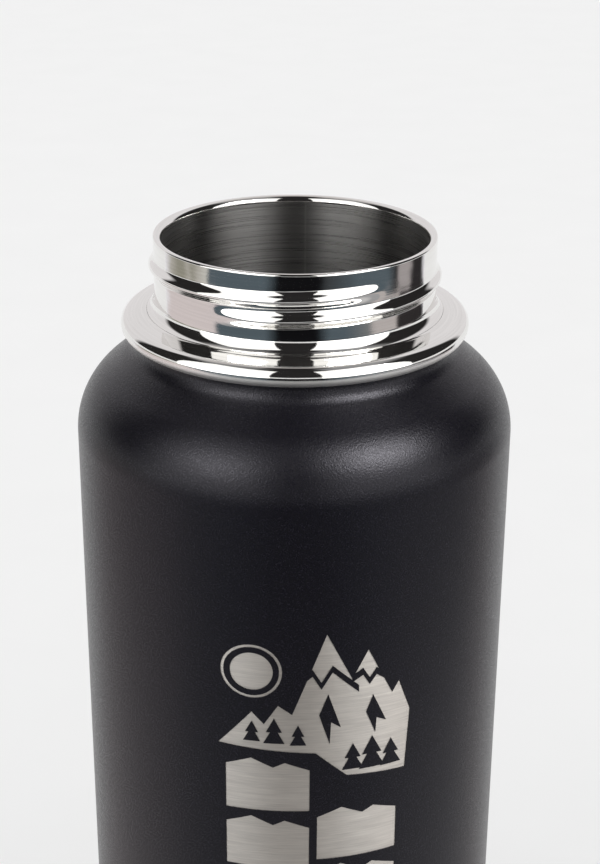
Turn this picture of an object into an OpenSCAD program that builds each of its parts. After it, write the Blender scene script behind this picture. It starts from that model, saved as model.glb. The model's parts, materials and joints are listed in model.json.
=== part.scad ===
// Wide-mouth, double-wall vacuum jug with a rolled neck thread and a polished collar.
// Millimetres. The bottle axis is +Z, the foot stands on z = 0, and -Y is the front with the mark.

/* [Body] */
// Outside diameter of the coated body
body_d = 91.5; // [88:0.5:100]
// Height from the floor to the lip
total_h = 256; // [200:1:300]
// Depth from the lip to where the straight wall turns into the shoulder
shoulder_drop = 41.6; // [40:0.1:46]
// Radius of the spun shoulder
shoulder_r = 16.9; // [15:0.1:18]
// Angle that the shoulder arc turns through before it runs straight to the neck
shoulder_turn = 51; // [46:1:56]
// Radius of the rolled edge at the foot
foot_r = 3.15; // [2:0.05:4]

/* [Neck] */
// Outside diameter of the neck, under the thread
neck_d = 58; // [57.5:0.5:58.5]
// Diameter of the mouth opening
mouth_d = 54.5; // [54:0.5:54.5]
// Radius of the lip's inner edge; its outer edge takes the rest of the wall
lip_round = 1.3; // [1:0.1:1.3]
// Diameter of the coated seat just under the collar
seat_d = 66.4; // [66:0.1:67]
// Radius where the shoulder meets the seat
seat_fillet = 4; // [1:0.1:5]

/* [Thread] */
// Rise of the thread in one turn
thread_pitch = 4; // [3.5:0.1:4.5]
// Height of the thread above the neck
thread_h = 1.05; // [0.8:0.05:1.2]
// Width of the thread at its root
thread_w = 3.8; // [3:0.1:4]
// Depth of the thread's crest below the lip at the front
thread_drop = 5.2; // [4.5:0.1:5.5]
// Bearing of the thread's upper end
thread_start = -52; // [-80:1:-20]
// Angle that the thread winds through
thread_sweep = 432; // [380:1:440]
// Angle over which each end of the thread fades out
thread_fade = 26; // [15:1:40]

/* [Collar] */
// Largest diameter of the collar
collar_d = 72; // [71:0.5:74]
// Depth of the collar's widest line below the lip
collar_drop = 18.5; // [18.3:0.1:18.9]
// Radius of the collar's rolled edge
collar_edge = 2.2; // [2:0.1:2.3]
// Sheet thickness of the collar
collar_wall = 0.7; // [0.5:0.1:0.8]
// Radius of the cove between the neck and the collar
cove_r = 2.7; // [2.5:0.1:2.8]
// Depth below the lip at which the cove starts
cove_drop = 13.2; // [13:0.1:13.3]
// Diameter of the joint line between the neck's cove and the collar
collar_joint_d = 61.2; // [60.8:0.1:61.6]

/* [Walls] */
// Thickness of the powder coat
coat_t = 0.15; // [0.1:0.01:0.2]
// Sheet thickness of the outer shell and the base
shell_wall = 0.5; // [0.4:0.1:0.7]
// Sheet thickness of the inner vessel
liner_wall = 0.4; // [0.4:0.1:0.6]
// Clear gap between the coated surface and the inner vessel, shell included
liner_inset = 3.75; // [3.5:0.05:4]

/* [Base] */
// Height of the pressed base's floor above the ground
base_floor = 8; // [7:0.5:9]
// Depth of the recess under the foot, down to the base cover
cover_recess = 2.4; // [1.5:0.1:3]
// Height of the inner vessel's bottom above the ground
liner_floor = 16; // [14.5:0.5:20]
// Corner radius of the inner vessel's bottom
liner_corner = 8; // [6:0.5:10]

/* [Mark] */
// Depth of the mark's top edge below the lip
mark_drop = 68; // [60:1:80]
// Bearing of the mark's middle, turned from the front
mark_turn = 5.5; // [0:0.5:10]
// Width of the mark
mark_w = 40; // [30:1:40]
// Height of the mountain, from its base to the main peak
mark_h = 34; // [28:1:36]
// Height of the ridge-topped blocks under the mountain
block_h = 12.5; // [8:0.5:14]
// Number of blocks in the left-hand column; the right-hand one has one fewer
block_count = 6; // [2:1:7]

/* [Hidden] */
$fn = 96;

body_r = body_d / 2;
neck_r = neck_d / 2;
mouth_r = mouth_d / 2;
seat_r = seat_d / 2;
shoulder_z = total_h - shoulder_drop;
shoulder_c = body_r - shoulder_r;

weld_r = 0.45;

// The rim: the neck and the liner end under a weld that is rounded to a crown
rim_h = 1.4;
rim_z = total_h - rim_h;
neck_wall = 0.8;
crown_r = mouth_r + lip_round;

// The thread's steps, and how deep its section's edges and its bed lie under the neck's surface
thread_steps = 72;
thread_sink = 0.35;
thread_bed = 0.06;

// The collar: a cove, a straight slope and a rolled edge, each tangent to the next
cove_c = [neck_r + cove_r, total_h - cove_drop];
collar_edge_c = [collar_d / 2 - collar_edge, total_h - collar_drop];
collar_low = collar_edge_c.y - collar_edge;
collar_run = collar_edge_c - cove_c;
collar_slope = acos((cove_r + collar_edge) / norm(collar_run)) - atan2(collar_run.x, -collar_run.y);
collar_up = [sin(collar_slope), cos(collar_slope)];
slope_start = cove_c - cove_r * collar_up;
collar_joint_r = collar_joint_d / 2;
collar_gap = 0.05;

// The foot of the neck that the collar covers
neck_foot_t = 0.8;
neck_foot_drop = 17.1;
neck_foot_z = total_h - neck_foot_drop - neck_foot_t;
neck_foot_r = seat_r + 0.5;
coat_tuck = 1.3;

// The inner vessel
liner_r = body_r - liner_inset;
liner_arc = shoulder_r - liner_inset;
liner_neck_r = mouth_r + liner_wall;
liner_fillet = 3;
liner_joint_z = liner_floor + 10;

// The base
base_r = body_r - coat_t - 4.6;
base_rim_z = weld_r;
base_corner = 1.5;
cover_wall = 0.6;
cover_rim_h = 3.5;
cover_corner = 1.2;
coat_low = 1.2;
dimple_r = 5.6;
dimple_h = 1.6;
dimple_lean = 0.9;
dimple_wall = 0.8;
hole_r = 0.8;
seal_sphere = 5;
seal_drop = 0.8;

// The reflective foil
foil_t = 0.12;
foil_low = liner_joint_z + 2;
foil_high = shoulder_z - 3;
tape_t = 0.08;
tape_angle = 14;
foil_disc_t = 0.15;
foil_disc_r = liner_r - liner_corner - 1;

// The getter and its clip
getter_r = 4;
getter_h = 3.2;
getter_out = 22;
getter_turn = 45;
getter_play = 0.3;
clip_t = 0.4;
clip_w = 6;
clip_foot = 3.5;

// The mark: a mountain with a sun, over two columns of blocks. cutter_in and cutter_out are
// how far its cutter reaches in and out from the front of the coat.
cutter_in = 6;
cutter_out = 2;
sun_r = 4.2;
sun_ring = [5.4, 6];
snow_t = 1.5;
block_gap = 1.4;
column_gap = 1.6;
column_w = 16.8;
left_column_drop = mark_h - 5.5;
right_column_drop = mark_h + 6.5;

// How far a cutting shape runs past the face that it opens
past = 1;

// ---------- outlines ----------

// Half outline of a vessel, filled to the axis: rounded foot, straight wall, shoulder arc,
// a straight run at shoulder_turn, a fillet, and the neck. inset moves every surface inwards.
module vessel_half(wall_r, arc_r, throat_r, fillet_r, z_floor, corner_r, z_top, inset = 0) {
    r = wall_r - inset;
    arc = arc_r - inset;
    throat = throat_r - inset;
    fillet = fillet_r + inset;
    corner = corner_r - inset;
    floor_z = z_floor + inset;
    lean = [cos(shoulder_turn), sin(shoulder_turn)];
    arc_c = [r - arc, shoulder_z];
    foot_c = [r - corner, floor_z + corner];
    fillet_x = throat + fillet;
    fillet_c = [fillet_x, shoulder_z + (arc + fillet - (fillet_x - arc_c.x) * lean.x) / lean.y];
    difference() {
        union() {
            polygon([
                [0, floor_z], [foot_c.x, floor_z], foot_c, [r, foot_c.y], [r, shoulder_z], arc_c,
                arc_c + arc * lean, fillet_c - fillet * lean, fillet_c, [throat, fillet_c.y],
                [throat, z_top], [0, z_top]
            ]);
            translate(foot_c) circle(corner);
            translate(arc_c) circle(arc);
        }
        translate(fillet_c) circle(fillet);
    }
}

module shell_half(inset, z_top) {
    vessel_half(body_r, shoulder_r, seat_r, seat_fillet, -coat_t, foot_r, z_top, inset);
}

module liner_half(inset, z_top) {
    vessel_half(liner_r, liner_arc, liner_neck_r, liner_fillet, liner_floor, liner_corner,
        z_top, inset);
}

// Sheet between the liner's outside and inside, over the heights from z0 to z1
module liner_sheet(z0, z1) {
    intersection() {
        difference() {
            liner_half(0, rim_z);
            liner_half(liner_wall, rim_z + past);
        }
        translate([0, z0]) square([body_r, z1 - z0]);
    }
}

// Half outline of a round plug with its upper outer corner rounded
module plug_half(r, z0, z1, corner) {
    translate([0, z0]) square([r, z1 - z0 - corner]);
    translate([0, z0]) square([r - corner, z1 - z0]);
    translate([r - corner, z1 - corner]) circle(corner);
}

// A quarter disc of weld metal in the corner at c, reaching towards x_side and z_side
module weld_fillet_half(c, x_side, z_side) {
    bead = [for (a = [0 : 15 : 90]) weld_r * [x_side * cos(a), z_side * sin(a)]];
    translate(c) polygon([[0, 0], each bead]);
}

// Half outline of the collar's outside, filled in to the joint with the neck. inset moves the
// slope, the edge and the underside inwards.
module collar_half(inset) {
    low = collar_low + inset;
    slope_end = collar_edge_c + (collar_edge - inset) * collar_up;
    slope_in = slope_start - inset * collar_up;
    polygon([
        [collar_joint_r, low], [collar_edge_c.x, low], collar_edge_c, slope_end, slope_in,
        [collar_joint_r, slope_in.y + (slope_in.x - collar_joint_r) * tan(collar_slope)]
    ]);
    translate(collar_edge_c) circle(collar_edge - inset);
}

// ---------- the mark, drawn flat: x across, y up, main peak at y = 0 ----------

// Points given as shares of half the mark's width and of the mountain's height
function share(points) = [for (p = points) [p.x * mark_w / 2, p.y * mark_h]];

// A zigzag band of even height under the given upper edge
module snow_line(edge) {
    top = share(edge);
    polygon([each top, for (i = [len(top) - 1 : -1 : 0]) top[i] - [0, snow_t]]);
}

// A pine of two tiers, standing on its base
module pine(x, y, tall) {
    a = 0.36 * tall;
    mid = 0.45 * tall;
    translate(share([[x, y]])[0])
        polygon([
            [-a, 0], [-0.35 * a, mid], [-0.75 * a, mid], [0, tall],
            [0.75 * a, mid], [0.35 * a, mid], [a, 0]
        ]);
}

module mountain_flat() {
    difference() {
        polygon(share([
            [-0.95, -0.76], [-0.62, -0.52], [-0.5, -0.6], [-0.36, -0.47], [-0.22, -0.53],
            [0.12, 0], [0.38, -0.31], [0.54, -0.13], [0.8, -0.45], [0.87, -0.38], [1, -0.6],
            [0.96, -1], [0.34, -0.97], [0.02, -0.8]
        ]));
        snow_line([[-0.25, -0.35], [-0.02, -0.23], [0.07, -0.32], [0.18, -0.21], [0.45, -0.36]]);
        snow_line([[0.38, -0.29], [0.49, -0.25], [0.56, -0.32], [0.63, -0.26], [0.85, -0.36]]);
        polygon(share([[0.14, -0.4], [0.27, -0.63], [0.17, -0.59], [0.16, -0.74], [0.05, -0.54]]));
        polygon(share([[0.6, -0.44], [0.74, -0.63], [0.64, -0.6], [0.63, -0.7], [0.53, -0.55]]));
        pine(-0.62, -0.72, 4.6);
        pine(-0.4, -0.73, 5.8);
        pine(-0.16, -0.74, 4.6);
        pine(0.4, -0.93, 6);
        pine(0.6, -0.94, 7.4);
        pine(0.8, -0.945, 6);
    }
}

module sun_flat() {
    translate(share([[-0.62, -0.25]])[0]) {
        circle(sun_r);
        difference() {
            circle(sun_ring[1]);
            circle(sun_ring[0]);
        }
    }
}

// A column of blocks with ridge-shaped tops, the first one's highest point at y = top
module blocks_flat(x, top, count) {
    for (i = [0 : count - 1])
        translate([x, top - block_h - i * (block_h + block_gap)])
            polygon([
                [0, 0], [column_w, 0], [column_w, block_h - 2.6], [0.7 * column_w, block_h - 0.8],
                [0.56 * column_w, block_h - 2], [0.3 * column_w, block_h], [0, block_h - 2]
            ]);
}

module mark_cutter() {
    rotate([0, 0, mark_turn])
        translate([0, cutter_in - body_r, total_h - mark_drop])
            rotate([90, 0, 0])
                linear_extrude(cutter_in + cutter_out) {
                    mountain_flat();
                    sun_flat();
                    blocks_flat(-column_gap / 2 - column_w, -left_column_drop, block_count);
                    blocks_flat(column_gap / 2, -right_column_drop, block_count - 1);
                }
}

// ---------- the thread ----------

// Height of the thread above the neck at t from -1 to 1 across its width
function ridge(t) = thread_h * (1 + cos(180 * t)) / 2;

// 0 at the thread's ends, rising smoothly to 1 over thread_fade
function fade(a) =
    let (d = min(a, thread_sweep - a, thread_fade) / thread_fade) (1 - cos(180 * d)) / 2;

// One section across the thread at a degrees from its upper end, sunk into the neck's wall
function ridge_section(a) =
    let (bearing = thread_start - a, z = total_h - thread_drop + thread_pitch * (bearing + 90) / 360)
    [
        for (t = [-1 : 0.25 : 1])
            let (r = abs(t) == 1 ? neck_r - thread_sink : neck_r - thread_bed + ridge(t) * fade(a))
            [r * cos(bearing), r * sin(bearing), z + t * thread_w / 2]
    ];

module thread_ridge() {
    sections = [for (i = [0 : thread_steps]) ridge_section(i * thread_sweep / thread_steps)];
    n = len(sections[0]);
    points = [for (s = sections) each s];
    sides = [
        for (i = [0 : thread_steps - 1], j = [0 : n - 1])
            let (a = i * n + j, b = i * n + (j + 1) % n)
            each [[a, b + n, b], [a, a + n, b + n]]
    ];
    ends = [[for (j = [0 : n - 1]) j], [for (j = [n - 1 : -1 : 0]) thread_steps * n + j]];
    polyhedron(points, concat(sides, ends), convexity = 6);
}

// ---------- outside ----------

module outer_shell() {
    color("silver")
        rotate_extrude()
            difference() {
                shell_half(coat_t, neck_foot_z);
                shell_half(coat_t + shell_wall, neck_foot_z + past);
                square([base_r, base_floor]);
            }
}

module powder_coat() {
    color([0.07, 0.07, 0.08])
        difference() {
            rotate_extrude()
                intersection() {
                    difference() {
                        shell_half(0, collar_low + coat_tuck);
                        shell_half(coat_t, total_h);
                    }
                    translate([0, coat_low]) square([body_r + past, total_h]);
                }
            mark_cutter();
        }
}

module threaded_neck() {
    color("gainsboro") {
        rotate_extrude()
            difference() {
                union() {
                    translate([neck_r - neck_wall, neck_foot_z])
                        square([neck_wall, rim_z - neck_foot_z]);
                    translate([neck_r - neck_wall, neck_foot_z])
                        square([neck_foot_r - neck_r + neck_wall, neck_foot_t]);
                    translate([neck_r - neck_wall, neck_foot_z])
                        square([collar_joint_r - neck_r + neck_wall, cove_c.y - neck_foot_z]);
                }
                translate(cove_c) circle(cove_r);
            }
        thread_ridge();
    }
}

module collar_ring() {
    cove_base = slope_start.y - collar_wall;
    color("gainsboro")
        rotate_extrude()
            difference() {
                union() {
                    collar_half(0);
                    translate([collar_joint_r, cove_base])
                        square([slope_start.x - collar_joint_r, cove_c.y - cove_base]);
                }
                translate(cove_c) circle(cove_r);
                collar_half(collar_wall);
                square([seat_r + collar_gap, collar_edge_c.y]);
            }
}

module lip_weld() {
    outer_round = neck_r - crown_r;
    color("gainsboro")
        rotate_extrude() {
            polygon([
                [mouth_r, rim_z], [neck_r, rim_z], [neck_r, total_h - outer_round],
                [crown_r, total_h - outer_round], [crown_r, total_h - lip_round],
                [mouth_r, total_h - lip_round]
            ]);
            translate([crown_r, total_h - outer_round]) circle(outer_round);
            difference() {
                translate([crown_r, total_h - lip_round]) circle(lip_round);
                translate([crown_r, rim_z - 2 * lip_round]) square(4 * lip_round);
                square([neck_r, rim_z]);
            }
        }
}

module neck_weld() {
    color("darkgray")
        rotate_extrude() weld_fillet_half([seat_r - coat_t, neck_foot_z], 1, -1);
}

// ---------- inner vessel ----------

module liner_body() {
    color("lightgray") rotate_extrude() liner_sheet(liner_joint_z, rim_z);
}

module liner_base() {
    color("lightgray") rotate_extrude() liner_sheet(liner_floor, liner_joint_z);
}

module liner_weld() {
    color("darkgray")
        rotate_extrude()
            difference() {
                translate([liner_r, liner_joint_z]) circle(weld_r);
                square([liner_r, total_h]);
            }
}

module foil_wrap() {
    color("lightsteelblue")
        translate([0, 0, foil_low])
            difference() {
                cylinder(foil_high - foil_low, r = liner_r + foil_t);
                translate([0, 0, -past]) cylinder(foil_high - foil_low + 2 * past, r = liner_r);
            }
}

module foil_tape() {
    color("silver")
        rotate([0, 0, 90 - tape_angle / 2])
            rotate_extrude(angle = tape_angle)
                translate([liner_r + foil_t, foil_low]) square([tape_t, foil_high - foil_low]);
}

module foil_base_disc() {
    color("lightsteelblue")
        translate([0, 0, liner_floor - foil_disc_t])
            cylinder(foil_disc_t, r = foil_disc_r);
}

// ---------- base ----------

module outer_base() {
    floor_top = base_floor + shell_wall;
    dimple_out = dimple_r + dimple_wall;
    color("silver")
        rotate_extrude()
            difference() {
                union() {
                    plug_half(base_r, base_rim_z, floor_top, base_corner);
                    polygon([
                        [0, base_floor], [dimple_out, base_floor], [dimple_out, floor_top],
                        [dimple_out - dimple_lean, floor_top + dimple_h], [0, floor_top + dimple_h]
                    ]);
                }
                plug_half(base_r - shell_wall, -past, base_floor, base_corner - shell_wall);
                polygon([
                    [0, base_floor - past], [dimple_r, base_floor - past], [dimple_r, base_floor],
                    [dimple_r - dimple_lean, base_floor + dimple_h], [0, base_floor + dimple_h]
                ]);
                square([hole_r, liner_floor]);
            }
}

module base_weld() {
    color("darkgray") rotate_extrude() weld_fillet_half([base_r, base_rim_z], -1, -1);
}

module base_cover() {
    r = base_r - shell_wall;
    color("silver")
        translate([0, 0, cover_recess])
            mirror([0, 0, 1])
                rotate_extrude()
                    translate([0, -cover_wall - cover_rim_h])
                        difference() {
                            plug_half(r, 0, cover_wall + cover_rim_h, cover_corner);
                            plug_half(r - cover_wall, -past, cover_rim_h, cover_corner - cover_wall);
                        }
}

module vacuum_seal() {
    top = base_floor + dimple_h;
    color([0.35, 0.4, 0.38])
        rotate_extrude() {
            translate([0, top]) square([hole_r, shell_wall]);
            intersection() {
                translate([0, top - seal_drop + seal_sphere]) circle(seal_sphere);
                translate([0, top - seal_drop]) square([dimple_r, seal_drop]);
            }
        }
}

module getter_pellet() {
    color("dimgray")
        rotate([0, 0, getter_turn])
            translate([getter_out, 0, base_floor + shell_wall])
                cylinder(getter_h, r = getter_r);
}

module getter_clip() {
    inside = getter_r + getter_play;
    outside = inside + clip_t;
    color("silver")
        rotate([0, 0, getter_turn])
            translate([getter_out, clip_w / 2, base_floor + shell_wall])
                rotate([90, 0, 0])
                    linear_extrude(clip_w)
                        difference() {
                            union() {
                                translate([-outside, 0]) square([2 * outside, getter_h + clip_t]);
                                translate([-outside - clip_foot, 0])
                                    square([2 * (outside + clip_foot), clip_t]);
                            }
                            translate([-inside, -past]) square([2 * inside, getter_h + past]);
                        }
}

outer_shell();
powder_coat();
threaded_neck();
collar_ring();
lip_weld();
neck_weld();
liner_body();
liner_base();
liner_weld();
foil_wrap();
foil_tape();
foil_base_disc();
outer_base();
base_weld();
base_cover();
vacuum_seal();
getter_pellet();
getter_clip();
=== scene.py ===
"""Wide-mouth vacuum jug: lathe-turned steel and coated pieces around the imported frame, in metres."""

import json
import math

import bmesh
import bpy
import numpy as np
from mathutils import Euler, Matrix, Vector, geometry


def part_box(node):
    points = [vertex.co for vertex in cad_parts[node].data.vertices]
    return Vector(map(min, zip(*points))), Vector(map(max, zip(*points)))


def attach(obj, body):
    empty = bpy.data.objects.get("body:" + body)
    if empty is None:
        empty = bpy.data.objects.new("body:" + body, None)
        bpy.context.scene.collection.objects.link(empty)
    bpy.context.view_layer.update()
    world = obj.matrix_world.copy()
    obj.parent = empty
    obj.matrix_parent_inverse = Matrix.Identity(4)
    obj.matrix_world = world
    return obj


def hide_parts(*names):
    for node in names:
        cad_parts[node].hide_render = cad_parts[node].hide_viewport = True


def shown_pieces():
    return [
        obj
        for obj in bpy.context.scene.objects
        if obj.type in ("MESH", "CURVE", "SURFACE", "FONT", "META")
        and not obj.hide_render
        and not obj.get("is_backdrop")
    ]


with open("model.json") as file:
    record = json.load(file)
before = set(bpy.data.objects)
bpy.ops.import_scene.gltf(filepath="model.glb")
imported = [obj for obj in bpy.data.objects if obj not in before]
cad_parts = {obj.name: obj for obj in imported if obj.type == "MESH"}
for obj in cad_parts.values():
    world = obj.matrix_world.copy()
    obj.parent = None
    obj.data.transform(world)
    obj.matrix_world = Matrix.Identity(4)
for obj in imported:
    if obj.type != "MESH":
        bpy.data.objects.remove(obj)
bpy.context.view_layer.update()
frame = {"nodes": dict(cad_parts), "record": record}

MM = 0.001
SEGMENTS = 360
SAME_POINT = 1e-8
ON_AXIS = 1e-7
ON_WALL = 1e-6
ROW_TALL = 8 * MM
THREAD_ROWS = 120

# ---------- sizes that the frame gives ----------

mouth = next(m for m in frame["record"]["mounts"] if m["name"] == "mouth")
lip_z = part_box("lip_weld")[1].z
rim_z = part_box("lip_weld")[0].z
neck_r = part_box("lip_weld")[1].x
body_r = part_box("powder_coat")[1].x
coat_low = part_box("powder_coat")[0].z
coat_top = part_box("powder_coat")[1].z
collar_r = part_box("collar_ring")[1].x
collar_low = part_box("collar_ring")[0].z
mouth_r = mouth["dims"]["r_mm"] * MM
neck_foot_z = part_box("threaded_neck")[0].z
neck_foot_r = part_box("threaded_neck")[1].x
liner_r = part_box("liner_body")[1].x
liner_joint_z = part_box("liner_body")[0].z
liner_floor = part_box("liner_base")[0].z
cover_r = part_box("base_cover")[1].x
cover_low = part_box("base_cover")[0].z
cover_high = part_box("base_cover")[1].z

# ---------- sizes of the outlines ----------

COAT_T = 0.15 * MM
SHELL_WALL = 0.5 * MM
LINER_WALL = 0.4 * MM
SHOULDER_DROP = 41.6 * MM
SHOULDER_ARC = 16.9 * MM
SHOULDER_TURN = math.radians(51)
SEAT_R = 33.2 * MM
SEAT_FILLET = 4 * MM
FOOT_R = 3.15 * MM
LINER_FILLET = 3 * MM
LINER_CORNER = 8 * MM
LIP_ROUND = 1.3 * MM
NECK_WALL = 0.8 * MM
NECK_FOOT_T = 0.8 * MM
COVE_R = 2.7 * MM
COVE_DROP = 13.2 * MM
COLLAR_EDGE = 2.2 * MM
COLLAR_JOINT_R = 30.6 * MM
COLLAR_WALL = 0.7 * MM
COLLAR_GAP = 0.05 * MM
JOINT_GAP = 0.02 * MM
THREAD_PITCH = 4 * MM
THREAD_H = 1.05 * MM
THREAD_W = 3.8 * MM
THREAD_DROP = 5.2 * MM
THREAD_START = -52
THREAD_SWEEP = 432
THREAD_FADE = 26
MARK_DROP = 68 * MM
MARK_TURN = math.radians(5.5)
MARK_W = 40 * MM
MARK_H = 34 * MM
BLOCK_H = 12.5 * MM
BLOCK_GAP = 1.4 * MM
BLOCK_COUNT = 6
COLUMN_GAP = 1.6 * MM
COLUMN_W = 16.8 * MM
LEFT_COLUMN_DROP = MARK_H - 5.5 * MM
RIGHT_COLUMN_DROP = MARK_H + 6.5 * MM
SUN_PLACE = (-0.62, -0.25)
SUN_R = 4.2 * MM
SUN_RING = (5.4 * MM, 6 * MM)
SNOW_T = 1.5 * MM
SEAM_X = 2.1 * MM

shoulder_z = lip_z - SHOULDER_DROP
crown_r = mouth_r + LIP_ROUND

# The cove, the collar's slope and its rolled edge are tangent to each other
cove_c = Vector((neck_r + COVE_R, lip_z - COVE_DROP))
edge_c = Vector((collar_r - COLLAR_EDGE, collar_low + COLLAR_EDGE))
run = edge_c - cove_c
slope = math.acos((COVE_R + COLLAR_EDGE) / run.length) - math.atan2(run.x, -run.y)
slope_up = Vector((math.sin(slope), math.cos(slope)))


# ---------- outlines: strokes of (r, z, normal r, normal z), the outside on the right ----------


def line(p, q):
    d = (Vector(q) - Vector(p)).normalized()
    return [(*p, d.y, -d.x), (*q, d.y, -d.x)]


def arc(centre, radius, start, end, steps=16):
    """Angles in degrees. A falling angle gives a hollow arc."""
    side = 1 if end > start else -1
    stroke = []
    for a in np.radians(np.linspace(start, end, steps + 1)):
        c, s = math.cos(a), math.sin(a)
        stroke.append((centre[0] + radius * c, centre[1] + radius * s, side * c, side * s))
    return stroke


def turned_over(strokes):
    """The same outline walked the other way, as the inside of a sheet."""
    return [[(r, z, -nr, -nz) for r, z, nr, nz in reversed(s)] for s in reversed(strokes)]


def vessel(wall_r, arc_r, throat_r, fillet_r, floor_z, corner_r, low_z, top_z, inset=0.0):
    """Foot corner, wall, shoulder, straight run, fillet and throat, from low_z up to top_z."""
    r, round_r, throat = wall_r - inset, arc_r - inset, throat_r - inset
    fillet, corner, ground = fillet_r + inset, corner_r - inset, floor_z + inset
    lean = Vector((math.cos(SHOULDER_TURN), math.sin(SHOULDER_TURN)))
    turn = math.degrees(SHOULDER_TURN)
    arc_c = Vector((r - round_r, shoulder_z))
    foot_c = Vector((r - corner, ground + corner))
    fillet_x = throat + fillet
    rise = (round_r + fillet - (fillet_x - arc_c.x) * lean.x) / lean.y
    fillet_c = Vector((fillet_x, shoulder_z + rise))
    strokes = []
    if low_z < foot_c.y:
        first = math.degrees(math.asin(max(-1, (low_z - foot_c.y) / corner)))
        strokes.append(arc(foot_c, corner, first, 0, 12))
    strokes += [
        line((r, max(low_z, foot_c.y)), (r, shoulder_z)),
        arc(arc_c, round_r, 0, turn, 28),
        line(arc_c + round_r * lean, fillet_c - fillet * lean),
        arc(fillet_c, fillet, 180 + turn, 180, 14),
        line((throat, fillet_c.y), (throat, top_z)),
    ]
    return strokes


def jug_outline(inset, low_z, top_z):
    return vessel(body_r, SHOULDER_ARC, SEAT_R, SEAT_FILLET, -COAT_T, FOOT_R, low_z, top_z, inset)


def liner_outline(inset, low_z, top_z):
    inset_from_body = body_r - liner_r
    return vessel(liner_r, SHOULDER_ARC - inset_from_body, mouth_r + LINER_WALL, LINER_FILLET,
                  liner_floor, LINER_CORNER, low_z, top_z, inset)


def joined(outer, inner):
    """A closed sheet outline: up the outside, across, down the inside and back."""
    inside = turned_over(inner)
    across = line(outer[-1][-1][:2], inside[0][0][:2])
    back = line(inside[-1][-1][:2], outer[0][0][:2])
    return [*outer, across, *inside, back]


# ---------- meshes ----------


def lathe(name, strokes, segments=SEGMENTS):
    """Turns a closed outline, or one that starts and ends on the axis, round Z with exact normals."""
    rings, edges = [], []
    for stroke in strokes:
        for point, after in zip(stroke, stroke[1:]):
            if not rings or math.dist(rings[-1], point[:2]) > SAME_POINT:
                rings.append(point[:2])
            edges.append((len(rings) - 1, point[2:], after[2:]))
            rings.append(after[:2])
    closed = math.dist(rings[0], rings[-1]) < SAME_POINT
    if closed:
        rings.pop()
    angles = np.arange(segments) * 2 * math.pi / segments
    cos, sin = np.cos(angles), np.sin(angles)
    starts, verts = [], []
    for r, z in rings:
        starts.append(len(verts))
        if r < ON_AXIS:
            verts.append((0.0, 0.0, z))
        else:
            verts += [(r * c, r * s, z) for c, s in zip(cos, sin)]
    faces, normals = [], []
    for ring, n0, n1 in edges:
        after = (ring + 1) % len(rings)
        a_axis, b_axis = rings[ring][0] < ON_AXIS, rings[after][0] < ON_AXIS
        if a_axis and b_axis:
            continue
        for j in range(segments):
            k = (j + 1) % segments
            a0, a1 = starts[ring] + (0 if a_axis else j), starts[ring] + (0 if a_axis else k)
            b0, b1 = starts[after] + (0 if b_axis else j), starts[after] + (0 if b_axis else k)
            corners = [(a0, n0, j), (a1, n0, k), (b1, n1, k), (b0, n1, j)]
            if a_axis:
                corners.pop(1)
            if b_axis:
                corners.pop(2)
            faces.append([c[0] for c in corners])
            normals += [(n[0] * cos[i], n[0] * sin[i], n[1]) for _, n, i in corners]
    return mesh_object(name, verts, faces, normals)


def mesh_object(name, verts, faces, normals=None):
    mesh = bpy.data.meshes.new(name)
    mesh.from_pydata(verts, [], faces)
    mesh.polygons.foreach_set("use_smooth", [True] * len(mesh.polygons))
    if normals is not None:
        mesh.normals_split_custom_set(normals)
    mesh.update()
    piece = bpy.data.objects.new(name, mesh)
    bpy.context.scene.collection.objects.link(piece)
    return piece


def finish_piece(piece, material, slot, *nodes):
    piece.data.materials.clear()
    piece.data.materials.append(material)
    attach(piece, "root")
    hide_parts(*nodes)
    return piece


# ---------- materials ----------


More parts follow.
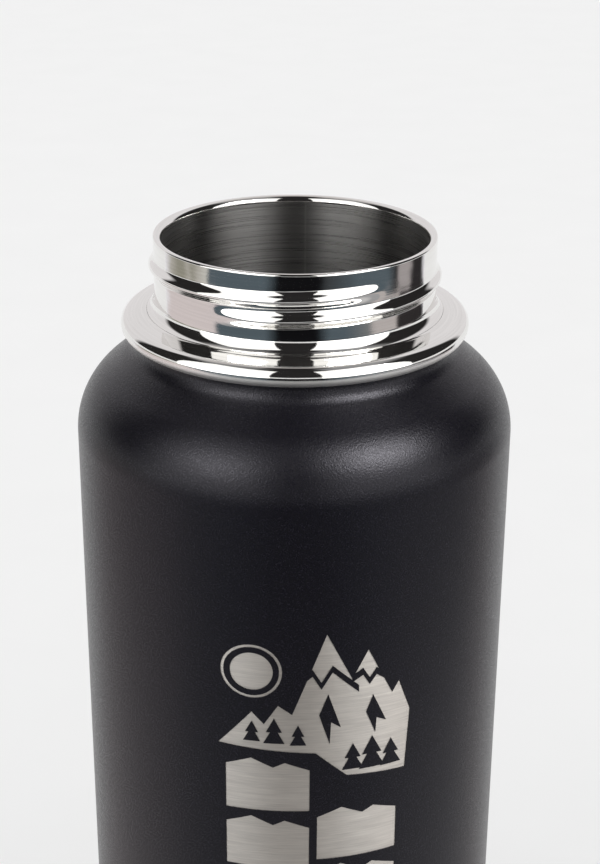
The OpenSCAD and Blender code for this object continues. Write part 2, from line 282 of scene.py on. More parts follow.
class Nodes:
    """The node tree of a material or world, with short ways to add nodes and math."""

    def __init__(self, owner):
        self.owner = owner
        owner.use_nodes = True
        self.tree = owner.node_tree
        self.shader = self.tree.nodes.get("Principled BSDF")

    def add(self, kind, **settings):
        node = self.tree.nodes.new(kind)
        for key, value in settings.items():
            setattr(node, key, value)
        return node

    def link(self, source, target):
        self.tree.links.new(source, target)

    def feed(self, socket, value):
        """Links a socket, or sets a number or colour on it."""
        if isinstance(value, bpy.types.NodeSocket):
            self.link(value, socket)
        elif isinstance(value, tuple) and len(value) == 3 and len(socket.default_value) == 4:
            socket.default_value = (*value, 1)
        else:
            socket.default_value = value

    def math(self, operation, *values):
        node = self.add("ShaderNodeMath", operation=operation)
        for socket, value in zip(node.inputs, values):
            self.feed(socket, value)
        return node.outputs[0]

    def mix(self, share, a, b):
        """Colour a where share is 0, colour b where it is 1."""
        node = self.add("ShaderNodeMix", data_type="RGBA")
        for index, value in ((0, share), (6, a), (7, b)):
            self.feed(node.inputs[index], value)
        return node.outputs[2]

    def parts(self, vector):
        """A vector's x, y, z and distance from the axis."""
        node = self.add("ShaderNodeSeparateXYZ")
        self.link(vector, node.inputs[0])
        x, y, z = node.outputs
        squares = [self.math("MULTIPLY", part, part) for part in (x, y)]
        return x, y, z, self.math("SQRT", self.math("ADD", *squares))

    def position(self):
        """Object position and its x, y, z and distance from the axis, in millimetres."""
        scale = self.add("ShaderNodeVectorMath", operation="SCALE")
        scale.inputs["Scale"].default_value = 1 / MM
        self.link(self.add("ShaderNodeTexCoord").outputs["Object"], scale.inputs[0])
        return scale.outputs[0], *self.parts(scale.outputs[0])

    def stretched(self, vector, scale):
        """The vector with each part scaled by its own number."""
        node = self.add("ShaderNodeVectorMath", operation="MULTIPLY")
        self.link(vector, node.inputs[0])
        node.inputs[1].default_value = scale
        return node.outputs[0]

    def noise(self, vector, scale, detail=3.0, roughness=0.55, w=None):
        node = self.add("ShaderNodeTexNoise", noise_dimensions="3D" if w is None else "4D")
        self.link(vector, node.inputs["Vector"])
        if w is not None:
            self.link(w, node.inputs["W"])
        node.inputs["Scale"].default_value = scale
        node.inputs["Detail"].default_value = detail
        node.inputs["Roughness"].default_value = roughness
        return node.outputs["Fac"]

    def brushed(self, along, across, detail=3.0):
        """Streaks that run round the axis: along and across are cycles per millimetre."""
        _, x, y, z, radius = self.position()
        vector = self.add("ShaderNodeCombineXYZ")
        for value, rate, socket in ((x, along, 0), (y, along, 1), (z, across, 2)):
            self.link(self.math("MULTIPLY", value, rate), vector.inputs[socket])
        return self.noise(vector.outputs[0], 1.0, detail, 0.6, self.math("MULTIPLY", radius, across))

    def ramp(self, value, *stops):
        node = self.add("ShaderNodeValToRGB")
        self.link(value, node.inputs[0])
        elements = node.color_ramp.elements
        while len(elements) < len(stops):
            elements.new(0.5)
        for element, (place, colour) in zip(elements, stops):
            element.position = place
            element.color = (*colour, 1)
        return node.outputs[0]

    def span(self, value, low, high, to_low, to_high, smooth=False):
        node = self.add("ShaderNodeMapRange", interpolation_type="SMOOTHSTEP" if smooth else "LINEAR")
        self.link(value, node.inputs["Value"])
        limits = {"From Min": low, "From Max": high, "To Min": to_low, "To Max": to_high}
        for socket, number in limits.items():
            node.inputs[socket].default_value = number
        return node.outputs["Result"]

    def bump(self, height, distance, strength=1.0, below=None):
        node = self.add("ShaderNodeBump")
        node.inputs["Strength"].default_value = strength
        node.inputs["Distance"].default_value = distance
        self.link(height, node.inputs["Height"])
        if below is not None:
            self.link(below, node.inputs["Normal"])
        return node.outputs[0]

    def set(self, **values):
        """Sets or links the shader's inputs; underscores in the names stand for spaces."""
        for key, value in values.items():
            self.feed(self.shader.inputs[key.replace("_", " ")], value)
        return self.owner


def new_material(name):
    return Nodes(bpy.data.materials.new(name))


def powder_coat_material():
    """Matte black with a cool cast, a fine shiny grain and scattered paler grains."""
    n = new_material("powder_coat")
    place = n.position()[0]
    grain = n.noise(place, 2.8, 2.0, 0.6)
    coarse = n.noise(place, 0.9, 2.0, 0.5)
    specks = n.noise(place, 3.6, 1.0, 0.5)
    normal = n.bump(grain, 0.07 * MM, 0.8, n.bump(coarse, 0.02 * MM, 0.25))
    colour = n.ramp(specks, (0.45, (0.0002, 0.0001, 0.0010)), (0.6, (0.0013, 0.0011, 0.0030)),
                    (0.72, (0.0064, 0.0058, 0.0084)))
    rough = n.span(specks, 0.38, 0.64, 0.38, 0.25)
    return n.set(Base_Color=colour, Roughness=rough, Normal=normal, Specular_IOR_Level=0.36,
                 Specular_Tint=(0.93, 0.91, 1.0))


def polished_material(name, satin_below=None):
    """Mirror-polished steel with faint turning lines, satin below the height satin_below (mm)."""
    n = new_material(name)
    place, _, _, z, _ = n.position()
    lines = n.brushed(0.06, 2.6)
    waves = n.noise(place, 0.22, 1.0, 0.4)
    normal = n.bump(lines, 0.004 * MM, 0.5, n.bump(waves, 0.03 * MM, 0.3))
    rough = n.span(lines, 0.3, 0.7, 0.03, 0.07)
    if satin_below is not None:
        satin = n.span(z, satin_below - 0.9, satin_below + 0.3, 0.4, 0.0, smooth=True)
        rough = n.math("ADD", rough, satin)
    colour = n.ramp(lines, (0.3, (0.80, 0.79, 0.77)), (0.7, (0.88, 0.87, 0.85)))
    return n.set(Base_Color=colour, Metallic=1.0, Roughness=rough, Normal=normal)


def brushed_steel(n, dark, light, rough, across, along, anisotropic, depth):
    """Brushed steel whose lines run round the axis. Across and along are cycles per millimetre."""
    lines = n.brushed(along, across, 4.0)
    broad = n.brushed(along * 0.5, across * 0.25, 2.0)
    mixed = n.math("ADD", n.math("MULTIPLY", lines, 0.65), n.math("MULTIPLY", broad, 0.35))
    tangent = n.add("ShaderNodeTangent", direction_type="RADIAL", axis="Z")
    n.set(Base_Color=n.ramp(mixed, (0.3, dark), (0.7, light)), Metallic=1.0,
          Roughness=n.span(mixed, 0.3, 0.7, rough * 0.85, rough * 1.15), Anisotropic=anisotropic,
          Anisotropic_Rotation=0.25, Tangent=tangent.outputs[0],
          Normal=n.bump(mixed, depth * MM, 0.4))
    return mixed


def brushed_material():
    """Outer steel: fine horizontal brushing in short streaks."""
    n = new_material("brushed_steel")
    brushed_steel(n, (0.53, 0.495, 0.46), (0.80, 0.755, 0.70), 0.42, 11.0, 0.2, 0.7, 0.01)
    return n.owner


def liner_material():
    """Inner vessel: brushing round the axis in steel drawn darker than the outer steel, as painted shade
    inside the bore, and the faint lengthwise seam at the back.
    """
    n = new_material("liner_steel")
    # Painted shade: these tones are darker than the outer steel's, so the inside of the bore and the light
    # bouncing in it stay dark.
    dark, light = (0.3, 0.294, 0.288), (0.4, 0.392, 0.384)
    mixed = brushed_steel(n, dark, light, 0.28, 6.0, 0.04, 0.85, 0.005)
    _, x, y, _, _ = n.position()
    off_seam = n.math("ABSOLUTE", n.math("SUBTRACT", x, SEAM_X / MM))
    seam = n.math("MULTIPLY", n.span(off_seam, 0.08, 0.3, 1.0, 0.0), n.math("GREATER_THAN", y, 0.0))
    plain = n.ramp(mixed, (0.3, dark), (0.7, light))
    n.set(Base_Color=n.mix(seam, plain, (0.46, 0.45, 0.44)))
    return n.owner


def weld_material():
    """Weld bead with fine ripples across its run."""
    n = new_material("weld_metal")
    place = n.position()[0]
    ripple = n.noise(place, 1.4, 2.0, 0.5)
    colour = n.ramp(ripple, (0.3, (0.40, 0.38, 0.36)), (0.7, (0.62, 0.60, 0.57)))
    rough = n.span(ripple, 0.3, 0.7, 0.3, 0.5)
    return n.set(Base_Color=colour, Metallic=1.0, Roughness=rough, Normal=n.bump(ripple, 0.1 * MM, 0.6))


def foil_material():
    """Bright thin foil with soft creases."""
    n = new_material("foil")
    creases = n.noise(n.position()[0], 0.18, 5.0, 0.6)
    colour = n.ramp(creases, (0.3, (0.78, 0.78, 0.79)), (0.7, (0.9, 0.9, 0.91)))
    rough = n.span(creases, 0.3, 0.7, 0.16, 0.3)
    return n.set(Base_Color=colour, Metallic=1.0, Roughness=rough, Normal=n.bump(creases, 0.5 * MM, 0.6))


def seal_material():
    """Fused grey-green solder glass."""
    n = new_material("seal_glass")
    cloud = n.noise(n.position()[0], 1.2, 2.0, 0.5)
    colour = n.ramp(cloud, (0.3, (0.10, 0.12, 0.11)), (0.7, (0.2, 0.23, 0.21)))
    return n.set(Base_Color=colour, Roughness=n.span(cloud, 0.3, 0.7, 0.1, 0.2), IOR=1.6)


def getter_material():
    """Pressed metal powder."""
    n = new_material("getter")
    grain = n.noise(n.position()[0], 5.0, 2.0, 0.6)
    colour = n.ramp(grain, (0.3, (0.06, 0.058, 0.055)), (0.7, (0.14, 0.135, 0.13)))
    return n.set(Base_Color=colour, Roughness=n.span(grain, 0.3, 0.7, 0.6, 0.8),
                 Normal=n.bump(grain, 0.08 * MM, 0.7))


# ---------- the mark: flat outlines in the mark's own x and y, main peak at y = 0 ----------


def share(points):
    """Points given as shares of half the mark's width and of the mountain's height."""
    return [(x * MARK_W / 2, y * MARK_H) for x, y in points]


def snow_line(edge):
    """A zigzag band of even height under the given upper edge."""
    top = share(edge)
    return [*top, *((x, y - SNOW_T) for x, y in reversed(top))]


def pine(x, y, tall):
    """A pine of two tiers, standing on its base."""
    (x, y), = share([(x, y)])
    a, mid = 0.36 * tall, 0.45 * tall
    half = [(a, 0), (0.35 * a, mid), (0.75 * a, mid), (0, tall)]
    return [(x + u, y + v) for u, v in (*half, *((-u, v) for u, v in reversed(half[:-1])))]


def disc(radius):
    (x, y), = share([SUN_PLACE])
    turns = np.arange(64) * 2 * math.pi / 64
    return [(x + radius * math.cos(a), y + radius * math.sin(a)) for a in turns]


def block(x, y):
    """One ridge-topped block with its lower left corner at x, y."""
    w, h = COLUMN_W, BLOCK_H
    top = [(w, h - 2.6 * MM), (0.7 * w, h - 0.8 * MM), (0.56 * w, h - 2 * MM), (0.3 * w, h),
           (0, h - 2 * MM)]
    return [(x + u, y + v) for u, v in [(0, 0), (w, 0), *top]]


def mark_outlines():
    """Outlines in layers: bare, coated again inside them, and bare again."""
    bare = [share([
        (-0.95, -0.76), (-0.62, -0.52), (-0.5, -0.6), (-0.36, -0.47), (-0.22, -0.53), (0.12, 0),
        (0.38, -0.31), (0.54, -0.13), (0.8, -0.45), (0.87, -0.38), (1, -0.6), (0.96, -1),
        (0.34, -0.97), (0.02, -0.8),
    ]), disc(SUN_RING[1])]
    columns = ((-COLUMN_GAP / 2 - COLUMN_W, LEFT_COLUMN_DROP, BLOCK_COUNT),
               (COLUMN_GAP / 2, RIGHT_COLUMN_DROP, BLOCK_COUNT - 1))
    for x, drop, count in columns:
        bare += [block(x, -drop - BLOCK_H - i * (BLOCK_H + BLOCK_GAP)) for i in range(count)]
    coated = [
        snow_line([(-0.25, -0.35), (-0.02, -0.23), (0.07, -0.32), (0.18, -0.21), (0.45, -0.36)]),
        snow_line([(0.38, -0.29), (0.49, -0.25), (0.56, -0.32), (0.63, -0.26), (0.85, -0.36)]),
        share([(0.14, -0.4), (0.27, -0.63), (0.17, -0.59), (0.16, -0.74), (0.05, -0.54)]),
        share([(0.6, -0.44), (0.74, -0.63), (0.64, -0.6), (0.63, -0.7), (0.53, -0.55)]),
        disc(SUN_RING[0]),
    ]
    pines = ((-0.62, -0.72, 4.6), (-0.4, -0.73, 5.8), (-0.16, -0.74, 4.6),
             (0.4, -0.93, 6), (0.6, -0.94, 7.4), (0.8, -0.945, 6))
    coated += [pine(x, y, tall * MM) for x, y, tall in pines]
    return bare, coated, [disc(SUN_R)]


def mark_cutter():
    """What takes the mark out of the coat, from 2 mm in front of it to 6 mm behind its front."""
    out, inward = 2 * MM, 6 * MM
    layers, corners, loops = [], [], []
    for layer, outlines in enumerate(mark_outlines()):
        for outline in outlines:
            doubled = sum(a[0] * b[1] - b[0] * a[1] for a, b in zip(outline, outline[1:] + outline[:1]))
            loops.append([len(corners) + i for i in range(len(outline))][::1 if doubled > 0 else -1])
            corners += [Vector((x / MM, y / MM)) for x, y in outline]
            layers.append(layer)
    # Outlines may cross. Each cell lists the outlines over it, and the topmost layer decides if it's cut
    points, _, cells, _, _, owners = geometry.delaunay_2d_cdt(corners, [], loops, 1, 1e-5)
    solid = bmesh.new()
    front = [solid.verts.new((p.x, 0, p.y)) for p in points]
    taken = [solid.faces.new([front[i] for i in cell]) for cell, over in zip(cells, owners)
             if over and layers[max(over)] != 1]
    bmesh.ops.delete(solid, geom=[v for v in solid.verts if not v.link_faces], context="VERTS")
    grown = bmesh.ops.extrude_face_region(solid, geom=taken)["geom"]
    moved = [v for v in grown if isinstance(v, bmesh.types.BMVert)]
    bmesh.ops.translate(solid, verts=moved, vec=(0, -(out + inward) / MM, 0))
    bmesh.ops.recalc_face_normals(solid, faces=solid.faces)
    place = Matrix.Translation((0, inward - body_r, lip_z - MARK_DROP)) @ Matrix.Scale(MM, 4)
    bmesh.ops.transform(solid, matrix=Matrix.Rotation(MARK_TURN, 4, "Z") @ place, verts=solid.verts)
    mesh = bpy.data.meshes.new("mark")
    solid.to_mesh(mesh)
    solid.free()
    return mesh


# ---------- pieces ----------


def outline_normals(points, strokes):
    """Outward normals at points (an array of x, y, z) on or just under a turned outline."""
    flat = np.stack([np.hypot(points[:, 0], points[:, 1]), points[:, 2]], 1)
    best = np.full(len(points), np.inf)
    found = np.zeros((len(points), 2))
    for stroke in strokes:
        for p, q in zip(stroke, stroke[1:]):
            start, along = np.array(p[:2]), np.array(q[:2]) - np.array(p[:2])
            part = np.clip((flat - start) @ along / max(along @ along, 1e-18), 0, 1)[:, None]
            gap = np.linalg.norm(flat - start - part * along, axis=1)
            nearer = gap < best
            best[nearer] = gap[nearer]
            found[nearer] = (np.array(p[2:]) * (1 - part) + np.array(q[2:]) * part)[nearer]
    around = points[:, :2] / flat[:, :1]
    normals = np.column_stack([found[:, :1] * around, found[:, 1]])
    return normals / np.linalg.norm(normals, axis=1)[:, None]


def in_rows(strokes, tall):
    """The same strokes, with straight upright ones split into rows of about the given height."""
    split = []
    for stroke in strokes:
        (r, low, nr, nz), (other_r, high, _, _) = stroke[0], stroke[-1]
        rows = round(abs(high - low) / tall) if r == other_r and len(stroke) == 2 else 0
        split.append([(r, z, nr, nz) for z in np.linspace(low, high, rows + 1)] if rows > 1 else stroke)
    return split


def cut(piece, mesh):
    """The piece's mesh with another mesh's shape taken out, in triangles."""
    cutter = bpy.data.objects.new("cutter", mesh)
    bpy.context.scene.collection.objects.link(cutter)
    modifier = piece.modifiers.new("cut", "BOOLEAN")
    modifier.operation = "DIFFERENCE"
    modifier.solver = "EXACT"
    modifier.object = cutter
    bpy.context.view_layer.update()
    done = bpy.data.meshes.new_from_object(piece.evaluated_get(bpy.context.evaluated_depsgraph_get()))
    piece.modifiers.clear()
    bpy.data.objects.remove(cutter)
    build = bmesh.new()
    build.from_mesh(done)
    bmesh.ops.triangulate(build, faces=build.faces)
    build.to_mesh(done)
    build.free()
    piece.data = done
    return done


def coat_piece():
    """Coat with the mark cut through it. Only its two skins are shaded as curved, not the cut edges."""
    strokes = joined(jug_outline(0.0, coat_low, coat_top), jug_outline(COAT_T, coat_low, coat_top))
    piece = lathe("coat", in_rows(strokes, ROW_TALL))
    mesh = cut(piece, mark_cutter())
    points = np.array([v.co for v in mesh.vertices])
    smooth = outline_normals(points, jug_outline(0.0, coat_low, coat_top))
    corner_vertex = np.array([c.vertex_index for c in mesh.loops])
    flat = np.repeat([f.normal for f in mesh.polygons], [f.loop_total for f in mesh.polygons], axis=0)
    known = smooth[corner_vertex]
    facing = np.einsum("ij,ij->i", flat, known)[:, None]
    on_skin = 0.8
    normals = np.where(facing > on_skin, known, np.where(facing < -on_skin, -known, flat))
    mesh.polygons.foreach_set("use_smooth", [True] * len(mesh.polygons))
    mesh.normals_split_custom_set(normals.tolist())
    return piece


def shell_piece():
    outer = jug_outline(COAT_T, 0.0, neck_foot_z)
    inner = jug_outline(COAT_T + SHELL_WALL, SHELL_WALL, neck_foot_z)
    return lathe("shell", joined(outer, inner))


def ridge(bearing, z):
    """Height of the rolled thread above the neck, for arrays of bearings in degrees and heights."""
    height = np.zeros(np.broadcast(bearing, z).shape)
    crest = lip_z - THREAD_DROP
    for turns in range(-2, 2):
        wound = THREAD_START - (bearing + 360 * turns)
        inside = (wound >= 0) & (wound <= THREAD_SWEEP)
        edge = np.clip(np.minimum(wound, THREAD_SWEEP - wound) / THREAD_FADE, 0, 1)
        middle = crest + THREAD_PITCH * (bearing + 360 * turns + 90) / 360
        across = np.clip((z - middle) / (THREAD_W / 2), -1, 1)
        bell = (1 + np.cos(math.pi * across)) / 2 * (1 - np.cos(math.pi * edge)) / 2
        height += np.where(inside, THREAD_H * bell, 0)
    return height


def cove_at(radius):
    """Height of the cove's surface at a radius, and the angle of that point round its centre."""
    out = (cove_c.x - radius) / COVE_R
    return cove_c.y - COVE_R * math.sqrt(1 - out**2), 180 + math.degrees(math.acos(out))


def neck_piece():
    """Neck tube with its rolled thread, the cove and the foot under the collar."""
    joint_z, joint_a = cove_at(COLLAR_JOINT_R)
    inner = neck_r - NECK_WALL
    foot_top = neck_foot_z + NECK_FOOT_T
    threaded_wall = [(neck_r, z, 1.0, 0.0) for z in np.linspace(cove_c.y, rim_z, THREAD_ROWS + 1)]
    piece = lathe("neck", [
        line((inner, neck_foot_z), (neck_foot_r, neck_foot_z)),
        line((neck_foot_r, neck_foot_z), (neck_foot_r, foot_top)),
        line((neck_foot_r, foot_top), (COLLAR_JOINT_R, foot_top)),
        line((COLLAR_JOINT_R, foot_top), (COLLAR_JOINT_R, joint_z)),
        arc(cove_c, COVE_R, joint_a, 180, 20),
        threaded_wall,
        line((neck_r, rim_z), (inner, rim_z)),
        line((inner, rim_z), (inner, neck_foot_z)),
    ])
    mesh = piece.data
    co = np.zeros(len(mesh.vertices) * 3, np.float32)
    mesh.vertices.foreach_get("co", co)
    co = co.reshape(-1, 3).astype(float)
    radius = np.hypot(co[:, 0], co[:, 1])
    bearing = np.degrees(np.arctan2(co[:, 1], co[:, 0]))
    threaded = (np.abs(radius - neck_r) < ON_WALL) & (co[:, 2] >= cove_c.y - ON_WALL)
    lift = np.where(threaded, ridge(bearing, co[:, 2]), 0)
    step = 0.02
    slope_round = (ridge(bearing + step, co[:, 2]) - ridge(bearing - step, co[:, 2])) / (
        2 * math.radians(step) * (neck_r + lift))
    rise = step * MM
    slope_high = (ridge(bearing, co[:, 2] + rise) - ridge(bearing, co[:, 2] - rise)) / (2 * rise)
    out = np.stack([np.cos(np.radians(bearing)), np.sin(np.radians(bearing)), np.zeros(len(co))], 1)
    side = np.stack([-out[:, 1], out[:, 0], out[:, 2]], 1)
    up = np.array([0.0, 0.0, 1.0])
    curved = out - slope_round[:, None] * side - slope_high[:, None] * up
    curved /= np.linalg.norm(curved, axis=1)[:, None]
    moved = co + lift[:, None] * out
    normals = np.zeros(len(mesh.loops) * 3, np.float32)
    mesh.corner_normals.foreach_get("vector", normals)
    normals = normals.reshape(-1, 3)
    corner_vertex = np.zeros(len(mesh.loops), np.int32)
    mesh.loops.foreach_get("vertex_index", corner_vertex)
    radial = np.abs(normals[:, 2]) < 1e-3
    outward = np.einsum("ij,ij->i", normals, out[corner_vertex]) > 0.9
    on_wall = radial & outward & threaded[corner_vertex]
    normals[on_wall] = curved[corner_vertex][on_wall]
    mesh.vertices.foreach_set("co", moved.astype(np.float32).ravel())
    mesh.normals_split_custom_set(normals.tolist())
    mesh.update()
    return piece


def collar_piece():
    """Rolled collar: its share of the cove, the sloped top, the round edge and the hollow underside."""
    joint_r = COLLAR_JOINT_R + JOINT_GAP
    turn = math.degrees(slope)
    inside = COLLAR_EDGE - COLLAR_WALL
    low_in = collar_low + COLLAR_WALL
    start_in = cove_c - (COVE_R + COLLAR_WALL) * slope_up
    joint_in = start_in.y + (start_in.x - joint_r) * math.tan(slope)
    lip_r = SEAT_R + COLLAR_GAP
    bevel = 0.06 * MM
    strokes = [
        line((lip_r, collar_low), (edge_c.x, collar_low)),
        arc(edge_c, COLLAR_EDGE, -90, 90 - turn, 40),
        line(edge_c + COLLAR_EDGE * slope_up, cove_c - COVE_R * slope_up),
        arc(cove_c, COVE_R, 270 - turn, cove_at(joint_r)[1] + 1, 12),
    ]
    end = strokes[-1][-1]
    strokes += [
        line(end[:2], (joint_r, end[1] - bevel)),
        line((joint_r, end[1] - bevel), (joint_r, joint_in)),
        line((joint_r, joint_in), edge_c + inside * slope_up),
        arc(edge_c, inside, 90 - turn, -90, 20),
        line((edge_c.x, low_in), (lip_r, low_in)),
        line((lip_r, low_in), (lip_r, collar_low)),
    ]
    return lathe("collar", strokes)


def lip_piece():
    """Rim that joins the neck to the liner: a small round outside and a large one inside."""
    outer_round = neck_r - crown_r
    outer_z, inner_z = lip_z - outer_round, lip_z - LIP_ROUND
    return lathe("lip", [
        line((mouth_r, rim_z), (neck_r, rim_z)),
        line((neck_r, rim_z), (neck_r, outer_z)),
        arc((crown_r, outer_z), outer_round, 0, 90, 12),
        arc((crown_r, inner_z), LIP_ROUND, 90, 180, 20),
        line((mouth_r, inner_z), (mouth_r, rim_z)),
    ])


def liner_body_piece():
    return lathe("liner", joined(liner_outline(0.0, liner_joint_z, rim_z),
                                 liner_outline(LINER_WALL, liner_joint_z, rim_z)))


def liner_base_piece():
    """Pressed bottom: flat floor and the corner up to the joint."""
    def half(inset):
        strokes = liner_outline(inset, liner_floor + inset, rim_z)
        wall_r = strokes[1][0][0]
        corner_end = strokes[1][0][1]
        return [line((0.0, liner_floor + inset), strokes[0][0][:2]), strokes[0],
                line((wall_r, corner_end), (wall_r, liner_joint_z))]
    outer, inner = half(0.0), turned_over(half(LINER_WALL))
    return lathe("liner_bottom", [*outer, line(outer[-1][-1][:2], inner[0][0][:2]), *inner])


def base_cover_piece():
    """Plain pressed disc in the foot, rim upwards."""
    wall, corner = 0.6 * MM, 1.2 * MM
    return lathe("foot_disc", [
        line((0.0, cover_low), (cover_r - corner, cover_low)),
        arc((cover_r - corner, cover_low + corner), corner, -90, 0, 12),
        line((cover_r, cover_low + corner), (cover_r, cover_high)),
        line((cover_r, cover_high), (cover_r - wall, cover_high)),
        line((cover_r - wall, cover_high), (cover_r - wall, cover_low + corner)),
        arc((cover_r - corner, cover_low + corner), corner - wall, 0, -90, 8),
        line((cover_r - corner, cover_low + wall), (0.0, cover_low + wall)),
    ])


def make_object():
    polished = polished_material("polished_steel")
    collar_steel = polished_material("collar_steel", satin_below=edge_c.y / MM)
    brushed = brushed_material()
    liner = liner_material()
    finish_piece(coat_piece(), powder_coat_material(), "powder_coat", "powder_coat")
    finish_piece(shell_piece(), brushed, "brushed_steel", "outer_shell")
    finish_piece(neck_piece(), polished, "polished_steel", "threaded_neck")
    finish_piece(collar_piece(), collar_steel, "polished_steel", "collar_ring")
    finish_piece(lip_piece(), polished, "polished_steel", "lip_weld")
    finish_piece(liner_body_piece(), liner, "liner_steel", "liner_body")
    finish_piece(liner_base_piece(), liner, "liner_steel", "liner_base")
    finish_piece(base_cover_piece(), brushed, "brushed_steel", "base_cover")
    hidden = (
        (weld_material(), ("neck_weld", "liner_weld", "base_weld")),
        (foil_material(), ("foil_wrap", "foil_tape", "foil_base_disc")),
        (brushed, ("outer_base", "getter_clip")),
        (seal_material(), ("vacuum_seal",)),
        (getter_material(), ("getter_pellet",)),
    )
    for material, nodes in hidden:
        for node in nodes:
            data = frame["nodes"][node].data
            data.materials.clear()
            data.materials.append(material)


# ---------- stage: floor, the room that reflections see, softboxes, world, camera ----------

FLOOR_GREY = 0.887
SKIRTING_LOW = 0.077
SKIRTING_HIGH = 0.109
FOCUS = Vector((0, 0, 0.25))
FLOOR_HALF = 12
CAMERA_LENS = 71.84
CAMERA_PITCH = math.radians(22.891)
CAMERA_ROLL = math.radians(0.357)
CAMERA_PLACE = (0.0012, -0.3392, lip_z + 0.0989)


def floor_material():
    """Pale matte floor."""
    n = new_material("floor")
    cloud = n.noise(n.position()[0], 0.02, 2.0, 0.5)
    colour = n.ramp(cloud, (0.3, (0.892, 0.892, 0.892)), (0.7, (0.902, 0.902, 0.902)))
    return n.set(Base_Color=colour, Roughness=0.9, Specular_IOR_Level=0.1)


def make_floor():
    sides = ((-1, -1), (1, -1), (1, 1), (-1, 1))
    floor = mesh_object("floor", [(x * FLOOR_HALF, y * FLOOR_HALF, 0) for x, y in sides], [(0, 1, 2, 3)])
    floor.data.materials.append(floor_material())
    floor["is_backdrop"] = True


def azimuth_and_elevation(n, direction):
    """Degrees round from the front towards +X, and degrees up, of a direction's x, y and z."""
    x, y, z, level = n.parts(direction)
    azimuth = n.math("DEGREES", n.math("ARCTAN2", x, n.math("MULTIPLY", y, -1.0)))
    return azimuth, n.math("DEGREES", n.math("ARCTAN2", z, level))


def by_angle(n, angle, low, high, *stops):
    """A colour ramp over an angle in degrees."""
    placed = [((a - low) / (high - low), colour) for a, colour in stops]
    return n.ramp(n.span(angle, low, high, 0.0, 1.0), *placed)


def room_material():
    """What low reflections see by azimuth from the front: an unlit studio, a dark camera, pale panels."""
    dusk, black, haze = (0.093, 0.12, 0.14), (0.006, 0.006, 0.007), (0.85, 0.84, 0.88)
    panel, straw, umber = (0.45, 0.43, 0.39), (0.3, 0.29, 0.24), (0.03, 0.027, 0.028)
    rose, pale, blush = (0.38, 0.35, 0.35), (0.68, 0.61, 0.61), (0.5, 0.46, 0.45)
    smoke, mist = (0.17, 0.19, 0.21), (0.38, 0.38, 0.39)
    n = new_material("room")
    n.tree.nodes.clear()
    place = n.add("ShaderNodeTexCoord").outputs["Object"]
    azimuth, _ = azimuth_and_elevation(n, place)
    ragged = n.noise(n.stretched(place, (8, 8, 500)), 1.0, 4.0, 0.7)
    azimuth = n.math("ADD", azimuth, n.span(ragged, 0.3, 0.7, -4.0, 4.0))
    wall = by_angle(
        n, azimuth, -180, 180,
        (-180, haze), (-124, haze), (-114, panel), (-105, straw), (-98, straw), (-93, panel), (-86, straw),
        (-82, panel), (-72, (0.6, 0.59, 0.55)), (-70, dusk), (-24, dusk), (-13, black), (18, black),
        (27, (0.05, 0.055, 0.06)), (50, dusk), (76, dusk), (86, umber), (90, rose), (101, rose),
        (106, umber), (119, umber), (123, haze), (180, haze))
    skirting = by_angle(
        n, azimuth, -180, 180,
        (-180, haze), (-124, haze), (-118, pale), (-66, pale), (-62, dusk), (-24, dusk), (-13, black),
        (18, black), (27, dusk), (40, dusk), (60, (0.19, 0.195, 0.2)), (66, blush), (86, blush),
        (90, umber), (122, umber), (126, haze))
    dish = by_angle(
        n, azimuth, -180, 180,
        (-180, haze), (-140, haze), (-119, pale), (-65, pale), (-58, mist), (-36, smoke), (-22, dusk),
        (-13, black), (18, black), (30, dusk), (55, mist), (100, mist), (124, pale), (143, haze))
    _, _, z, radius = n.parts(place)
    glow = n.span(radius, 0.26, 0.45, 0.4, 0.0, smooth=True)
    floor = n.mix(glow, dish, (1.0, 0.98, 0.97))
    low = n.mix(n.math("GREATER_THAN", z, SKIRTING_LOW), floor, skirting)
    colour = n.mix(n.math("GREATER_THAN", z, SKIRTING_HIGH), low, wall)
    light = n.add("ShaderNodeEmission")
    n.link(colour, light.inputs["Color"])
    n.link(light.outputs[0], n.add("ShaderNodeOutputMaterial").inputs[0])
    return n.owner


def make_room():
    """Curved card with a dish at its foot, low in front, which only reflections see."""
    inner, radius, low, height = 0.09, 0.45, 0.002, 0.16
    half_turn, columns = 124, 125
    angles = np.radians(-90 + np.linspace(-half_turn, half_turn, columns))
    rows = ((inner, low), (radius, low), (radius, height))
    verts = [(r * math.cos(a), r * math.sin(a), z) for a in angles for r, z in rows]
    faces = [(3 * i + k, 3 * i + 3 + k, 3 * i + 4 + k, 3 * i + 1 + k)
             for i in range(len(angles) - 1) for k in (0, 1)]
    card = mesh_object("room", verts, faces)
    card.data.materials.append(room_material())
    card.visible_camera = False
    card.visible_diffuse = False
    card.visible_shadow = False
    card.visible_transmission = False
    card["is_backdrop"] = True


def make_softbox(name, azimuth, elevation, width, height, radiance, lean=0.0):
    """Area light 1 m from the neck's axis, for the object only.

    Angles in degrees: azimuth from the front towards +X, elevation up, lean how far it tips down.
    """
    turn, up = math.radians(azimuth), math.radians(elevation)
    data = bpy.data.lights.new(name, "AREA")
    data.shape = "RECTANGLE"
    data.size, data.size_y = width, height
    data.energy = radiance * math.pi * width * height
    data.color = (1.0, 0.995, 0.985)
    light = bpy.data.objects.new(name, data)
    light.location = FOCUS + Vector((math.sin(turn), -math.cos(turn), math.tan(up)))
    light.rotation_euler = Euler((math.pi / 2 - math.radians(lean), 0, turn))
    light.light_linking.receiver_collection = lit_pieces()
    bpy.context.scene.collection.objects.link(light)


def lit_pieces():
    """The object's own pieces: the softboxes light these and leave the floor to the even light."""
    group = bpy.data.collections.get("lit") or bpy.data.collections.new("lit")
    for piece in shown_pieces():
        if piece.name not in group.objects:
            group.objects.link(piece)
    return group


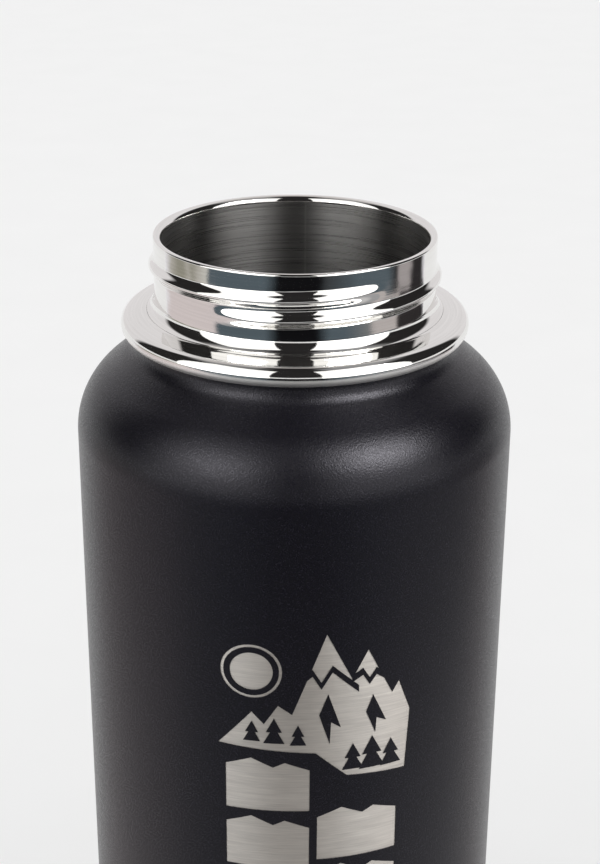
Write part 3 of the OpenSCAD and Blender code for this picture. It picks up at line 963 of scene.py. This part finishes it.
def make_world():
    """Even pale light for the floor and the background; a studio by direction in reflections."""
    world = bpy.data.worlds.new("studio")
    bpy.context.scene.world = world
    n = Nodes(world)
    n.tree.nodes.clear()
    azimuth, elevation = azimuth_and_elevation(n, n.add("ShaderNodeTexCoord").outputs["Generated"])
    dark, haze, top = (0.02, 0.019, 0.019), (0.80, 0.78, 0.79), (0.6, 0.57, 0.56)
    level = by_angle(n, azimuth, -180, 180, (-180, haze), (-124, haze), (-117, dark), (126, dark),
                     (133, haze), (180, haze))
    above = by_angle(n, azimuth, -180, 180, (-180, top), (-125, top), (-100, (0.3, 0.3, 0.3)),
                     (-60, (0.2, 0.2, 0.2)), (-30, dark), (30, dark), (45, (0.28, 0.28, 0.29)),
                     (125, (0.35, 0.35, 0.35)), (140, top), (180, top))
    reflected = n.mix(n.span(elevation, 48, 62, 0.0, 1.0, smooth=True), level, above)
    reflected = n.mix(n.span(elevation, 76, 82, 0.0, 1.0, smooth=True), reflected, dark)

    def background(colour):
        node = n.add("ShaderNodeBackground")
        n.feed(node.inputs["Color"], colour)
        return node.outputs[0]

    def pick(share, a, b):
        node = n.add("ShaderNodeMixShader")
        for socket, source in zip(node.inputs, (share, a, b)):
            n.link(source, socket)
        return node.outputs[0]

    path = n.add("ShaderNodeLightPath").outputs
    unseen = pick(path["Is Glossy Ray"], background((1.0, 1.0, 1.0)), background(reflected))
    shown = pick(path["Is Camera Ray"], unseen, background((FLOOR_GREY, FLOOR_GREY, FLOOR_GREY)))
    n.link(shown, n.add("ShaderNodeOutputWorld").inputs[0])


def make_camera():
    data = bpy.data.cameras.new("camera")
    data.lens = CAMERA_LENS
    data.sensor_width = 36
    data.clip_start = 0.01
    data.clip_end = 100
    camera = bpy.data.objects.new("camera", data)
    camera.location = CAMERA_PLACE
    turn = Euler((math.pi / 2 - CAMERA_PITCH, 0, 0)).to_matrix() @ Matrix.Rotation(CAMERA_ROLL, 3, "Z")
    camera.rotation_euler = turn.to_euler()
    bpy.context.scene.collection.objects.link(camera)
    bpy.context.scene.camera = camera


make_camera()
make_object()
make_floor()
make_room()
make_world()
make_softbox("softbox_left", -46.5, 38.5, 1.22, 2.01, 1.25)
make_softbox("softbox_right", 47.5, 38.5, 1.18, 2.01, 1.25)
make_softbox("core_left", -42, 25, 0.6, 0.5, 3.9, lean=25)
make_softbox("core_right", 51, 36, 0.7, 0.5, 11.5, lean=36)
bpy.context.scene.view_settings.view_transform = "Standard"
